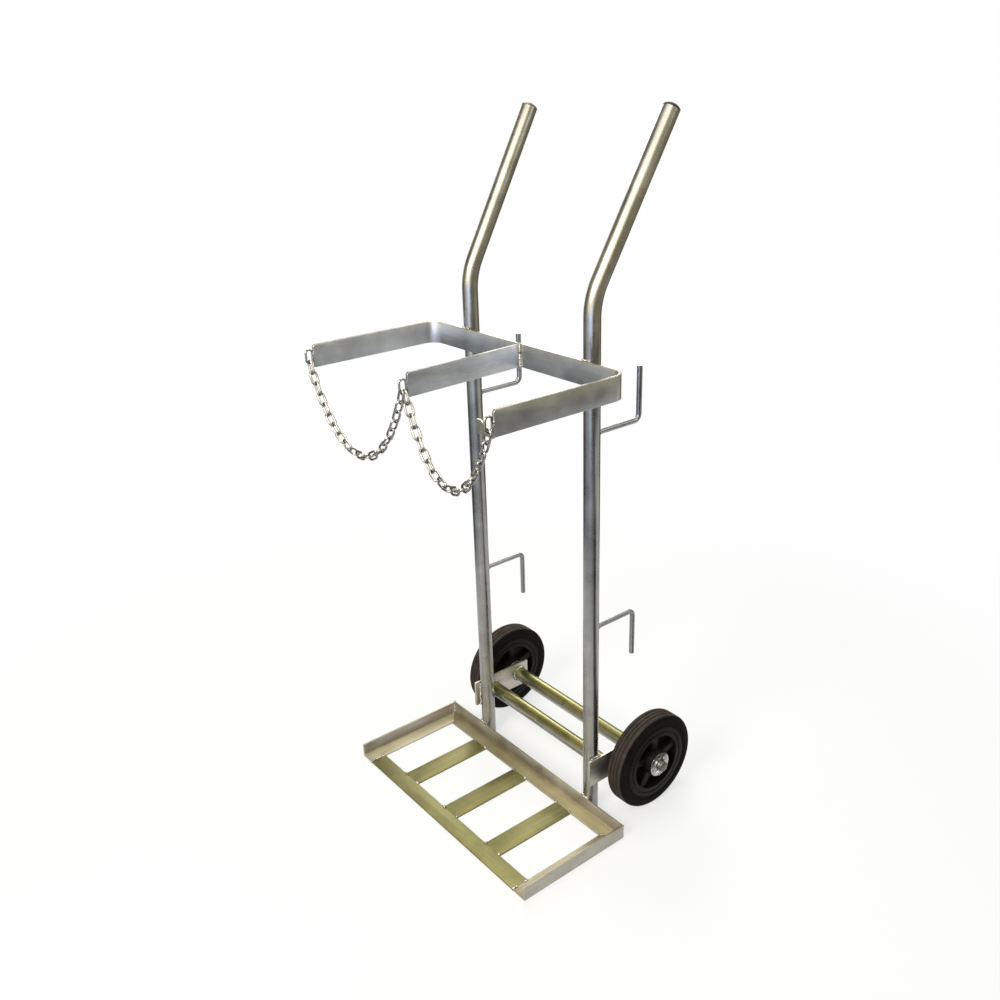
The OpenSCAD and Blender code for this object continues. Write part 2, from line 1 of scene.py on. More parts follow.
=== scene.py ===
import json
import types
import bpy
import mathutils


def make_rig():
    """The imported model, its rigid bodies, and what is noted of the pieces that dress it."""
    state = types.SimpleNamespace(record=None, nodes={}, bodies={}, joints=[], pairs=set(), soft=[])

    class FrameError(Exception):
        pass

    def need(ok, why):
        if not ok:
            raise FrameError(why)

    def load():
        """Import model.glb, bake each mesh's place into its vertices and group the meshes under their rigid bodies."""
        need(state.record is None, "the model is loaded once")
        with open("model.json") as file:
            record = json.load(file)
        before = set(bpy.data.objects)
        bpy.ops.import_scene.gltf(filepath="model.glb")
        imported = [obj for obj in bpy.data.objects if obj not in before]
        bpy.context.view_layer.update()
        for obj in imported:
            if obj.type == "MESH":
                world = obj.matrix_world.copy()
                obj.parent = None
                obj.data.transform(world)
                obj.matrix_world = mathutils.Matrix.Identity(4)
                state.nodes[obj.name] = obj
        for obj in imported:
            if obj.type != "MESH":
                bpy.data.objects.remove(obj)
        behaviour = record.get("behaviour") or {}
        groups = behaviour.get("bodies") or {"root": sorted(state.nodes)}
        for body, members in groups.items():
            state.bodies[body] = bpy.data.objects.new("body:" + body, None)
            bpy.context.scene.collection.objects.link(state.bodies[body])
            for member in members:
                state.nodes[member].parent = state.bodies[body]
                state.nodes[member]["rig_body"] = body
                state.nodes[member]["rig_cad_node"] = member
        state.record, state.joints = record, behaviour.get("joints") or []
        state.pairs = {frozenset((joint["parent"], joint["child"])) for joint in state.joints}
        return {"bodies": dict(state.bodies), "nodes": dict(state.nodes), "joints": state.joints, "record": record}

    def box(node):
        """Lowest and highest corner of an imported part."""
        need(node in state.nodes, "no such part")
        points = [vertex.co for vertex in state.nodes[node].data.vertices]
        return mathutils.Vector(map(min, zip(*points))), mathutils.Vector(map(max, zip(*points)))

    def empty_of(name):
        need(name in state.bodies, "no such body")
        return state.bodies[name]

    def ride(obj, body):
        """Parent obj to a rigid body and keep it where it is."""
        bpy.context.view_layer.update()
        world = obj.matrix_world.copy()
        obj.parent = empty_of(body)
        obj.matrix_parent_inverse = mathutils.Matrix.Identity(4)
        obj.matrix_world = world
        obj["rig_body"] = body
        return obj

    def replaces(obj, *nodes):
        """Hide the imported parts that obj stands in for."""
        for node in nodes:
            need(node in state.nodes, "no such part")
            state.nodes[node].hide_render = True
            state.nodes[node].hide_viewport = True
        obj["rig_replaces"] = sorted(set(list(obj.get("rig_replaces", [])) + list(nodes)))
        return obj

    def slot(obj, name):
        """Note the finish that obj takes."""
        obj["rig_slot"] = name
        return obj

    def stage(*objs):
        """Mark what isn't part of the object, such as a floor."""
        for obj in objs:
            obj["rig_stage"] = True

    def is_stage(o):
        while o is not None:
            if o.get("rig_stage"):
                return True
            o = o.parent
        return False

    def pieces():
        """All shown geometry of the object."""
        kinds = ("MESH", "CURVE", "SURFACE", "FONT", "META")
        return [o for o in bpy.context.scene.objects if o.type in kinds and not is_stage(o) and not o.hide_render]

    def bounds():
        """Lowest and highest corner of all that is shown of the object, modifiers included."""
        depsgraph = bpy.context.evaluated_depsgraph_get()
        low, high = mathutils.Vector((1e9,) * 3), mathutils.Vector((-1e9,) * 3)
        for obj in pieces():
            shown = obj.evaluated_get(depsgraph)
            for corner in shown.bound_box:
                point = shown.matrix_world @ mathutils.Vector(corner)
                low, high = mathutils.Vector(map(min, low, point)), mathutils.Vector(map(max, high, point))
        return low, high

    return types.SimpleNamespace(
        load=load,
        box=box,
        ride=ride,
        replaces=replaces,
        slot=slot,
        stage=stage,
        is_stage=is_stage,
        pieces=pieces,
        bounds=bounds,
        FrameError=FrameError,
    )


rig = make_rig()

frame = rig.load()

import json
import math

import bmesh
import bpy
from mathutils import Matrix, Vector

nodes = frame["nodes"]
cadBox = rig.bounds()
scene = bpy.context.scene
print("frame loaded with", len(nodes), "nodes")


def addNode(tree, kind, settings=None, links=None):
    # lower-case keys are the node's own settings, the others are its sockets
    node = tree.nodes.new(kind)
    for key, value in (settings or {}).items():
        if isinstance(key, str) and key[0].islower():
            setattr(node, key, value)
        else:
            node.inputs[key].default_value = value
    for key, socket in (links or {}).items():
        tree.links.new(socket, node.inputs[key])
    return node


def calculate(tree, operation, *values):
    # a maths node whose values are numbers or sockets
    node = addNode(tree, "ShaderNodeMath", {"operation": operation})
    for i, value in enumerate(values):
        if isinstance(value, bpy.types.NodeSocket):
            tree.links.new(value, node.inputs[i])
        else:
            node.inputs[i].default_value = value
    return node.outputs[0]


def spread(tree, value, span, result=(0.0, 1.0), curve="LINEAR"):
    # maps a span of values onto another one and stops at both ends
    settings = {"interpolation_type": curve, "From Min": span[0], "From Max": span[1],
                "To Min": result[0], "To Max": result[1]}
    return addNode(tree, "ShaderNodeMapRange", settings, {"Value": value}).outputs[0]


def emptyMaterial(name):
    made = bpy.data.materials.new(name)
    made.use_nodes = True
    made.node_tree.nodes.clear()
    return made, made.node_tree


def fromHex(text):
    # sRGB hex to the linear colour that Blender works in
    parts = [int(text[i:i + 2], 16) / 255 for i in (0, 2, 4)]
    return tuple(c / 12.92 if c <= 0.04045 else ((c + 0.055) / 1.055) ** 2.4 for c in parts) + (1.0,)


def newObject(name, mesh):
    made = bpy.data.objects.new(name, mesh)
    scene.collection.objects.link(made)
    return made


def bakeModifiers(piece):
    # the modifiers' result becomes the plain mesh, and the modifiers go
    bpy.context.view_layer.update()
    shown = piece.evaluated_get(bpy.context.evaluated_depsgraph_get())
    result = bpy.data.meshes.new_from_object(shown)
    piece.modifiers.clear()
    piece.data = result


def smoothByAngle(mesh, degrees):
    mesh.polygons.foreach_set("use_smooth", [True] * len(mesh.polygons))
    mesh.set_sharp_from_angle(angle=math.radians(degrees))


def faceOutward(mesh):
    shape = bmesh.new()
    shape.from_mesh(mesh)
    bmesh.ops.recalc_face_normals(shape, faces=shape.faces)
    shape.to_mesh(mesh)
    shape.free()


# ---- camera, floor and light

photoCamera = {
    "place": (1.34765, -1.10180, 1.36834),  # metres, from the fit to the photograph
    "yaw": 52.297, "pitch": 23.074, "roll": -2.029,  # degrees: turned left, tilted down, rolled
    "lens": 35.961, "sensor": 36.0, "clip": (0.05, 60),
}


def setCamera(look):
    yaw, pitch, roll = (math.radians(look[key]) for key in ("yaw", "pitch", "roll"))
    forward = Vector((-math.sin(yaw) * math.cos(pitch), math.cos(yaw) * math.cos(pitch), -math.sin(pitch)))
    right = forward.cross(Vector((0, 0, 1))).normalized()
    up = right.cross(forward)
    rolledRight = right * math.cos(roll) + up * math.sin(roll)
    rolledUp = up * math.cos(roll) - right * math.sin(roll)
    data = bpy.data.cameras.new("photoCamera")
    data.lens, data.sensor_width = look["lens"], look["sensor"]
    data.clip_start, data.clip_end = look["clip"]
    camera = newObject("photoCamera", data)
    turn = Matrix((rolledRight, rolledUp, -forward)).transposed()
    camera.matrix_world = Matrix.Translation(look["place"]) @ turn.to_4x4()
    scene.camera = camera


def ring(radius, first, last, count=16):
    # points round the cart, in degrees from +X
    turns = [math.radians(first + (last - first) * i / count) for i in range(count + 1)]
    return [(radius * math.cos(turn), radius * math.sin(turn)) for turn in turns]


def level(points, height):
    return [(x, y, height) for x, y in points]


def standing(points, bottom, top):
    return level(points, bottom), level(points, top)


def lying(inner, outer, lift=0.002):
    return level(inner, lift), level(outer, lift)


studio = {
    # the paper glows a little near the cart, so its shadow stays, and fully beyond
    "floorSize": 30.0, "floorColour": "f2f2f0", "floorGlow": 0.66, "glowFrom": 0.7, "glowFull": 1.7,
    "roomColour": "dfe3e6", "roomStrength": 0.42,
    "lamps": {  # place, size, watts, colour
        "keyLamp": ((0.62, -2.55, 2.35), 1.3, 66, "fff6ea"),
        "fillLamp": ((2.30, 1.50, 2.30), 1.4, 15, "eef3ff"),
        "topLamp": ((-0.40, 0.30, 3.20), 1.6, 40, "fdfff0"),
        "backLamp": ((-1.90, 1.60, 1.70), 1.2, 20, "f3f6ff"),
    },
    "aim": (0.0, -0.02, 0.60),
    "cards": {  # seen by reflections only: two edges, colour and strength
        "nearCard": (standing([(0.66, -0.08), (0.60, 0.20)], 0.0, 0.50), "3a3d3f", 1.0),
        "highCard": (standing([(0.66, -0.24), (0.66, -0.10)], 0.50, 0.90), "474b50", 1.0),
        "armCard": (standing([(0.50, -0.34), (0.50, 0.44)], 0.69, 0.85), "6a6865", 1.0),
        "wheelShade": (lying([(0.36, 0.0), (0.36, 0.36)], [(0.75, 0.0), (0.75, 0.36)]), "504c45", 1.0),
        "leftCard": (standing([(-1.25, -0.10), (-0.90, -1.05)], 0.0, 0.38), "44484a", 1.0),
        "floorShade": (lying(ring(0.95, -128, 5), ring(2.0, -128, 5)), "9fa6ae", 1.0),
        "floorShadeFar": (lying(ring(2.0, -128, 5), ring(3.0, -128, 5)), "98a2ae", 1.0),
        "floorShadeLeft": (lying(ring(1.0, -180, -128), ring(3.4, -180, -128)), "787f85", 1.0),
        "floorShadeBack": (lying(ring(1.2, 72, 135), ring(3.4, 72, 135)), "77735e", 1.0),
        "roomBack": (standing(ring(3.4, 75, 140), 0, 1.1), "857b55", 1.0),
        "roomRight": (standing(ring(3.4, -30, 75), 0, 2.2), "b0a686", 1.0),
        "roomRightHigh": (standing(ring(3.4, -22, 75), 2.2, 4.5), "d6cda6", 1.3),
        "roomLeftLow": (standing(ring(3.4, -180, -128), 0, 1.0), "77828a", 1.0),
        "roomLeft": (standing(ring(3.4, -180, -128), 1.0, 4.5), "968e70", 1.0),
        "frontPaperHigh": (standing(ring(3.6, -110, -24), 2.2, 5.5), "fff5e0", 4.1),
        "frontPaper": (standing(ring(3.6, -108, -42), 0.75, 2.2), "fff6e2", 2.0),
        "frontPaperLow": (standing(ring(3.6, -80, -42), 0, 0.75), "c4d8ff", 4.4),
        "frontRight": (standing(ring(3.6, -42, -30), 0, 2.2), "d8cfae", 1.0),
        "frontLeft": (standing(ring(3.6, -128, -108), 0, 4.5), "d8cfae", 1.2),
    },
}


def whiteRays(tree):
    # camera, glossy and transmission rays all see the white backdrop
    path = addNode(tree, "ShaderNodeLightPath").outputs
    seen = calculate(tree, "MAXIMUM", path["Is Camera Ray"], path["Is Glossy Ray"])
    return calculate(tree, "MAXIMUM", seen, path["Is Transmission Ray"])


def setRoom(look):
    scene.world = scene.world or bpy.data.worlds.new("softRoom")
    scene.world.use_nodes = True
    tree = scene.world.node_tree
    tree.nodes.clear()
    room = addNode(tree, "ShaderNodeBackground",
                   {"Color": fromHex(look["roomColour"]), "Strength": look["roomStrength"]})
    white = addNode(tree, "ShaderNodeBackground", {"Color": (1, 1, 1, 1), "Strength": 1.0})
    mixed = addNode(tree, "ShaderNodeMixShader", None,
                    {0: whiteRays(tree), 1: room.outputs[0], 2: white.outputs[0]})
    addNode(tree, "ShaderNodeOutputWorld", None, {"Surface": mixed.outputs[0]})


def layFloor(look):
    # paper that glows for the rays that see the backdrop, so that it is white but keeps the shadow
    paint, tree = emptyMaterial("paleFloorPaper")
    paper = addNode(tree, "ShaderNodeBsdfDiffuse", {"Color": fromHex(look["floorColour"])})
    glow = addNode(tree, "ShaderNodeEmission", {"Color": (1, 1, 1, 1), "Strength": 1.0})
    spot = addNode(tree, "ShaderNodeTexCoord").outputs["Object"]
    away = addNode(tree, "ShaderNodeVectorMath", {"operation": "LENGTH"}, {0: spot}).outputs["Value"]
    glowing = spread(tree, away, (look["glowFrom"], look["glowFull"]), (look["floorGlow"], 1.0),
                     "SMOOTHSTEP")
    share = calculate(tree, "MULTIPLY", whiteRays(tree), glowing)
    mixed = addNode(tree, "ShaderNodeMixShader", None, {0: share, 1: paper.outputs[0], 2: glow.outputs[0]})
    addNode(tree, "ShaderNodeOutputMaterial", None, {"Surface": mixed.outputs[0]})
    half = look["floorSize"] / 2
    corners = [(-half, -half, 0), (half, -half, 0), (half, half, 0), (-half, half, 0)]
    mesh = bpy.data.meshes.new("paleFloor")
    mesh.from_pydata(corners, [], [(0, 1, 2, 3)])
    mesh.materials.append(paint)
    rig.stage(newObject("paleFloor", mesh))


def putCard(name, edges, colour, strength):
    lower, upper = edges
    count = len(lower)
    faces = [(i, i + 1, count + i + 1, count + i) for i in range(count - 1)]
    mesh = bpy.data.meshes.new(name)
    mesh.from_pydata(lower + upper, [], faces)
    card = newObject(name, mesh)
    for ray in ("camera", "diffuse", "transmission", "shadow", "volume_scatter"):
        setattr(card, "visible_" + ray, False)
    paint, tree = emptyMaterial(name + "Paint")
    shade = addNode(tree, "ShaderNodeEmission", {"Color": fromHex(colour), "Strength": strength})
    addNode(tree, "ShaderNodeOutputMaterial", None, {"Surface": shade.outputs[0]})
    mesh.materials.append(paint)
    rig.stage(card)


def hangLamp(name, aim, place, size, watts, colour):
    data = bpy.data.lights.new(name, "AREA")
    data.shape, data.size = "DISK", size
    data.energy, data.color = watts, fromHex(colour)[:3]
    lamp = newObject(name, data)
    lamp.location = place
    lamp.rotation_euler = (Vector(aim) - Vector(place)).to_track_quat("-Z", "Y").to_euler()


def setStudio(look):
    setRoom(look)
    layFloor(look)
    for name, card in look["cards"].items():
        putCard(name, *card)
    for name, lamp in look["lamps"].items():
        hangLamp(name, look["aim"], *lamp)


scene.view_settings.view_transform = "Standard"
setCamera(photoCamera)
setStudio(studio)
print("camera and studio set")


# ---- materials

def noise(tree, where, scale, detail, roughness=0.5, distortion=0.0):
    settings = {"Scale": scale, "Detail": detail, "Roughness": roughness, "Distortion": distortion}
    return addNode(tree, "ShaderNodeTexNoise", settings, {"Vector": where}).outputs[0]


def twoTones(tree, share, look):
    tones = {"Color1": fromHex(look["dark"]), "Color2": fromHex(look["light"])}
    return addNode(tree, "ShaderNodeMixRGB", tones, {"Fac": share}).outputs[0]


def overlay(tree, share, colour, tint, kind):
    return addNode(tree, "ShaderNodeMixRGB", {"blend_type": kind, "Color2": fromHex(tint)},
                   {"Fac": share, "Color1": colour}).outputs[0]


def finishSkin(finish, look, settings, colour, roughness, height):
    # the surface itself, with the fine relief of its grain
    tree = finish.node_tree
    relief = addNode(tree, "ShaderNodeBump", {"Strength": look["relief"], "Distance": look["reliefDepth"]},
                     {"Height": height})
    skin = addNode(tree, "ShaderNodeBsdfPrincipled", settings,
                   {"Base Color": colour, "Roughness": roughness, "Normal": relief.outputs[0]})
    addNode(tree, "ShaderNodeOutputMaterial", None, {"Surface": skin.outputs[0]})
    return finish


def zincSteel(name, look):
    # Electroplated zinc on drawn or rolled steel: a grey metal, clear to cloudy, with fine lines along
    # the way it was drawn. The eye sees long streaks, soft cloudy patches and a few dull smudges.
    finish, tree = emptyMaterial(name)
    if look["bent"]:
        where = addNode(tree, "ShaderNodeAttribute", {"attribute_name": "unbentPlace"}).outputs["Vector"]
    else:
        where = addNode(tree, "ShaderNodeTexCoord").outputs["Object"]
    stretch = [1000 / look["lineMm"]] * 3
    stretch["xyz".index(look["along"])] = 1000 / look["lineLengthMm"]
    drawn = addNode(tree, "ShaderNodeMapping", {"Scale": stretch}, {"Vector": where}).outputs[0]
    lines = noise(tree, drawn, 1.0, 3.0, 0.55)
    clouds = noise(tree, where, 1000 / look["cloudMm"], 4.0, 0.6, 0.4)
    specks = noise(tree, where, 1000 / look["speckMm"], 2.0, 0.7)
    colour = twoTones(tree, spread(tree, clouds, look["cloudSpan"]), look)
    colour = overlay(tree, spread(tree, lines, look["lineSpan"]), colour, look["lineTint"], "MULTIPLY")
    speckShare = calculate(tree, "MULTIPLY", spread(tree, specks, look["speckSpan"]), look["speckDepth"])
    colour = overlay(tree, speckShare, colour, look["speckTint"], "MIX")
    if "upTint" in look:
        # painted reflection: faces that look up take the olive tint of the surroundings they would mirror, from one
        # upward slope to another
        facing = addNode(tree, "ShaderNodeNewGeometry").outputs["Normal"]
        upward = addNode(tree, "ShaderNodeSeparateXYZ", None, {0: facing}).outputs["Z"]
        colour = overlay(tree, spread(tree, upward, look["upFrom"]), colour, look["upTint"], "MULTIPLY")
    polish = spread(tree, clouds, look["polishSpan"], look["roughness"])
    return finishSkin(finish, look, {"Metallic": 1.0}, colour, polish, lines)


plateDefaults = {
    "along": "z", "lineMm": 1.1, "lineLengthMm": 180, "cloudMm": 48, "speckMm": 2.6, "speckDepth": 0.08,
    # parts of each noise's range that carry its pattern
    "lineSpan": (0.30, 0.70), "cloudSpan": (0.35, 0.68), "speckSpan": (0.62, 0.72),
    "polishSpan": (0.3, 0.7),
    "dark": "979693", "light": "acaba8", "lineTint": "e2e2e0", "speckTint": "6e6c66",
    "roughness": (0.25, 0.33), "relief": 0.03, "reliefDepth": 0.0002, "upFrom": (0.6, 0.9), "bent": False,
}
# the up tints of the flat bars and the rolled angles are painted olive reflections on their upward faces
flatBar = {"lineMm": 0.9, "lineLengthMm": 320, "dark": "c0c2c4", "light": "d3d5d8", "lineTint": "e2e2e2",
           "upTint": "b3a98c", "speckDepth": 0.1, "roughness": (0.32, 0.42), "relief": 0.3}
rolledAngle = {"cloudMm": 60, "dark": "b2aea6", "light": "c9c5bd", "lineTint": "dedcd6",
               "upTint": "e8e2ca", "roughness": (0.42, 0.54), "relief": 0.25}
# painted reflection: the slats' olive colour is the olive surroundings they would mirror, painted in; the dark specks
# are their own
oliveReflectionSlat = {"cloudMm": 44, "dark": "7b7651", "light": "8d885d", "lineTint": "d6d4c4",
                "speckTint": "57502c", "speckDepth": 0.5, "roughness": (0.38, 0.52), "relief": 0.25}


def plated(name, shared=None, **changes):
    return zincSteel(name, {**plateDefaults, **(shared or {}), **changes})


tubeZinc = plated("drawnTubeBrightZinc", bent=True)
# painted reflection: a lighter, warmer copy of the tube zinc, with the olive reflection of the surroundings painted on
# its upper side
crossTubeReflectionZinc = plated("crossTubeBrightZincPaintedReflection", along="x", dark="a3a197", light="b8b5a9",
                       upTint="d0cc92", upFrom=(0.3, 0.75))
rodZinc = plated("hookRodBrightZinc", bent=True, lineLengthMm=60, dark="8f9193", light="a6a8aa")
hoopZinc = plated("flatBarSatinZincSideways", flatBar, along="x")
armZinc = plated("flatBarSatinZinc", flatBar, along="y")
plateZinc = plated("cutPlateSatinZinc", along="y", lineMm=1.2, lineLengthMm=90,
                   dark="bebbb0", light="d0cdc2", roughness=(0.34, 0.5), relief=0.3)
# painted shade: the back angle is the same rolled angle as the sides, made darker, its up tint too
shadedAngleZincX = plated("rolledAngleZincSideways", rolledAngle, along="x",
                    dark="a8a39a", light="bfbab0", upTint="d6cfae")
angleZincY = plated("rolledAngleZinc", rolledAngle, along="y")
slatZincX = plated("slatYellowedZincSideways", oliveReflectionSlat, along="x")
slatZincY = plated("slatYellowedZinc", oliveReflectionSlat, along="y")
chainZinc = plated("chainWireBrightZinc", lineMm=0.7, lineLengthMm=3, cloudMm=9,
                   dark="918f8a", light="b4b2ac", roughness=(0.14, 0.26), relief=0.15)
washerZinc = plated("turnedWasherBrightZinc", lineMm=3.0, lineLengthMm=3.0, cloudMm=14,
                    dark="a3a3a1", light="c6c6c4", lineTint="f4f4f4", speckDepth=0.0,
                    roughness=(0.16, 0.24), relief=0.0)
axleZinc = plated("axleRodDullZinc", along="x", lineLengthMm=20, cloudMm=7,
                  dark="74726c", light="96948e", roughness=(0.3, 0.42))
weldMetal = plated("weldBeadBrightZinc", lineMm=1.0, lineLengthMm=1.0, cloudMm=4,
                   dark="55544e", light="dcdcd6", roughness=(0.14, 0.26), relief=0.5)

plasticDefaults = {"dustSpan": (0.38, 0.72), "glossSpan": (0.3, 0.7), "reliefDepth": 0.0003}


def mouldedPlastic(name, **changes):
    # Injection moulded polymer or rubber: no metal, a fine grain and a soft uneven gloss from dust
    # and handling.
    look = {**plasticDefaults, **changes}
    finish, tree = emptyMaterial(name)
    where = addNode(tree, "ShaderNodeTexCoord").outputs["Object"]
    grain = noise(tree, where, 1000 / look["grainMm"], 3.0)
    dust = noise(tree, where, 1000 / look["dustMm"], 5.0, 0.65)
    tint = twoTones(tree, spread(tree, dust, look["dustSpan"]), look)
    gloss = spread(tree, dust, look["glossSpan"], look["roughness"])
    settings = {"Metallic": 0.0, "IOR": look["ior"], "Specular IOR Level": look["specular"]}
    return finishSkin(finish, look, settings, tint, gloss, grain)


# solid rubber, dusty brown where it has rolled and blacker on the walls
treadRubber = mouldedPlastic("treadRubberDusty", grainMm=1.4, dustMm=22, dark="2b231e", light="483d34",
                             roughness=(0.62, 0.82), relief=0.5, ior=1.52, specular=0.2)
wallRubber = mouldedPlastic("wallRubberBlack", grainMm=1.2, dustMm=26, dark="0b0907", light="17140f",
                            roughness=(0.6, 0.8), relief=0.35, ior=1.52, specular=0.07)
# moulded polypropylene, near black with a soft shine
hubPlastic = mouldedPlastic("hubPolypropyleneBlack", grainMm=1.0, dustMm=18, dark="120e0b", light="201a15",
                            roughness=(0.38, 0.54), relief=0.2, ior=1.49, specular=0.1)
# pushed-in polyethylene plugs, black, and the left one paler brown
plugPlastic = mouldedPlastic("plugPolyethyleneBlack", grainMm=0.9, dustMm=10, dark="0e0d0d", light="1e1c1a",
                             roughness=(0.4, 0.55), relief=0.3, ior=1.5, specular=0.3)
paleLeftPlug = mouldedPlastic("plugPolyethyleneDusty", grainMm=0.9, dustMm=10, dark="6a5d52", light="93857a",
                           roughness=(0.4, 0.55), relief=0.3, ior=1.5, specular=0.3)
print("materials made")


# ---- tubes, bars, plates and small parts, smooth and with broken edges

pieceLooks = {  # node: finish, slot, edge radius in millimetres
    "holder_hoop": (hoopZinc, "flat_steel", 0.7),
    "holder_divider": (armZinc, "flat_steel", 0.7),
    "chain_hook_plate": (plateZinc, "flat_steel", 0.4),
    "base_back_angle": (shadedAngleZincX, "base_steel", 0.8),
    "base_front_flat": (slatZincX, "slat_steel", 0.6),
    "base_middle_slat": (slatZincY, "slat_steel", 0.6),
    "front_cross_tube": (crossTubeReflectionZinc, "zinc_tube", 0.0),
    "axle_tube": (crossTubeReflectionZinc, "zinc_tube", 0.0),
    "axle": (axleZinc, "bright_steel", 0.5),
    "axle_spacers": (washerZinc, "bright_steel", 0.3),
    "hub_washers": (washerZinc, "bright_steel", 0.3),
    "end_washers": (washerZinc, "bright_steel", 0.3),
    "split_pins": (washerZinc, "bright_steel", 0.0),
    "middle_anchor_link": (chainZinc, "chain_steel", 0.0),
    "chain_end_links": (chainZinc, "chain_steel", 0.0),
}
for side in ("left_", "right_"):
    pieceLooks.update({
        side + "handle_plug": (paleLeftPlug if side == "left_" else plugPlastic, "black_plastic", 0.4),
        side + "axle_bracket": (plateZinc, "flat_steel", 0.5),
        "base_" + side + "angle": (angleZincY, "base_steel", 0.8),
        "base_" + side + "slat": (slatZincY, "slat_steel", 0.6),
        side + "anchor_link": (chainZinc, "chain_steel", 0.0),
        side + "hub": (hubPlastic, "black_plastic", 1.0),
    })
hubBodies = {"left_hub": "left_wheel", "right_hub": "right_wheel"}


edgeLook = {
    "mergeMetres": 1e-5, "flatDegrees": 0.4,  # the CAD's triangles joined into whole faces
    "bevelDegrees": 35, "bevelSteps": 3, "smoothDegrees": 32,
}


def finishPiece(name, finish, slot, edgeMm, look):
    # a merged copy of the CAD node, smooth where it is round, with its sharp edges broken as on real stock
    mesh = nodes[name].data.copy()
    shape = bmesh.new()
    shape.from_mesh(mesh)
    bmesh.ops.remove_doubles(shape, verts=shape.verts, dist=look["mergeMetres"])
    if edgeMm:
        bmesh.ops.dissolve_limit(shape, angle_limit=math.radians(look["flatDegrees"]),
                                 verts=shape.verts, edges=shape.edges)
    shape.to_mesh(mesh)
    shape.free()
    mesh.materials.clear()
    mesh.materials.append(finish)
    piece = newObject(name + "Finished", mesh)
    if edgeMm:
        bevel = piece.modifiers.new("edges", "BEVEL")
        bevel.width, bevel.segments = edgeMm / 1000, look["bevelSteps"]
        bevel.limit_method, bevel.angle_limit = "ANGLE", math.radians(look["bevelDegrees"])
        bakeModifiers(piece)
    smoothByAngle(piece.data, look["smoothDegrees"])
    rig.ride(piece, hubBodies.get(name, "cart"))
    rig.replaces(piece, name)
    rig.slot(piece, slot)


for name, (finish, slot, edgeMm) in pieceLooks.items():
    finishPiece(name, finish, slot, edgeMm, edgeLook)
print("finished", len(pieceLooks), "pieces")


# ---- uprights and hooks, swept along their bent middle lines

sweepLook = {  # metres and degrees, as in the CAD
    "steps": 64, "bendSteps": 24, "edge": 0.0004, "bore": 0.0125,
    "bendStart": 0.996, "bendRadius": 0.120, "lean": 30.0, "handle": 0.293, "splay": 3.5,
    "hookBend": 0.012,
    "rightStart": 3.0,  # so that the two sides don't have the same marks
}


def bentPath(y, z, heading, straight, radius, turn, rest, count):
    # a straight, a bend and a straight in the YZ plane: each stop is y, z and the heading from +Y to +Z
    stops = [(y, z, heading)]
    way = 1 if turn > 0 else -1
    middleY = y + straight * math.cos(heading) - way * radius * math.sin(heading)
    middleZ = z + straight * math.sin(heading) + way * radius * math.cos(heading)
    for i in range(count + 1):
        angle = heading + turn * i / count
        stops.append((middleY + way * radius * math.sin(angle), middleZ - way * radius * math.cos(angle),
                      angle))
    y, z, angle = stops[-1]
    stops.append((y + rest * math.cos(angle), z + rest * math.sin(angle), angle))
    return stops


def withEdges(stops, radius, edge):
    # radii along the path, with two more stops where the ends are chamfered
    (y0, z0, a0), (y1, z1, a1) = stops[0], stops[-1]
    first = (y0 + edge * math.cos(a0), z0 + edge * math.sin(a0), a0)
    last = (y1 - edge * math.cos(a1), z1 - edge * math.sin(a1), a1)
    slim = radius - edge
    return ([(stops[0], slim), (first, radius)] + [(stop, radius) for stop in stops[1:-1]]
            + [(last, radius), (stops[-1], slim)])


def sweepRound(name, middleX, rings, hollow, look):
    # the attribute holds each point's place before the bar was bent, so that its drawn lines follow it
    count, points, faces, unbent = look["steps"], [], [], []
    run = 0.0 if name.startswith("left") else look["rightStart"]
    before = rings[0][0]
    for stop, radius in rings:
        y, z, angle = stop
        run += math.dist(stop[:2], before[:2])
        before = stop
        for i in range(count):
            turn = 2 * math.pi * i / count
            side, out = radius * math.cos(turn), radius * math.sin(turn)
            points.append((middleX + side, y - out * math.sin(angle), z + out * math.cos(angle)))
            unbent.append((side, out, run))
    for row in range(len(rings) if hollow else len(rings) - 1):
        here, there = row * count, (row + 1) % len(rings) * count
        for i in range(count):
            j = (i + 1) % count
            faces.append((here + i, here + j, there + j, there + i))
    if not hollow:
        faces += [tuple(range(count)), tuple(range(len(points) - count, len(points)))]
    mesh = bpy.data.meshes.new(name)
    mesh.from_pydata(points, [], faces)
    place = mesh.attributes.new("unbentPlace", "FLOAT_VECTOR", "POINT")
    place.data.foreach_set("vector", [value for point in unbent for value in point])
    return newObject(name, mesh)


def finishSwept(piece, node, finish):
    faceOutward(piece.data)
    piece.data.materials.append(finish)
    smoothByAngle(piece.data, edgeLook["smoothDegrees"])
    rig.ride(piece, "cart")
    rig.replaces(piece, node)
    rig.slot(piece, "zinc_tube")


def makeUpright(side, look):
    low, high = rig.box(side + "_upright")
    tubeLow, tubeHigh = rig.box("axle_tube")
    radius = (tubeHigh.z - tubeLow.z) / 2
    way = -1 if side == "left" else 1
    footX, footY = way * (min(abs(low.x), abs(high.x)) + radius), low.y + radius
    stops = bentPath(footY, low.z, math.radians(90), look["bendStart"] - low.z, look["bendRadius"],
                     -math.radians(look["lean"]), look["handle"], look["bendSteps"])
    outside = withEdges(stops, radius, look["edge"])
    inside = [(stop, look["bore"]) for stop, _ in reversed(outside)]
    piece = sweepRound(side + "UprightSwept", 0.0, outside + inside, True, look)
    # the whole tube turns about its own foot, so that the handles spread
    turn = Matrix.Rotation(-way * math.radians(look["splay"]), 4, "Z")
    piece.data.transform(Matrix.Translation((footX, footY, 0)) @ turn @ Matrix.Translation((0, -footY, 0)))
    finishSwept(piece, side + "_upright", tubeZinc)


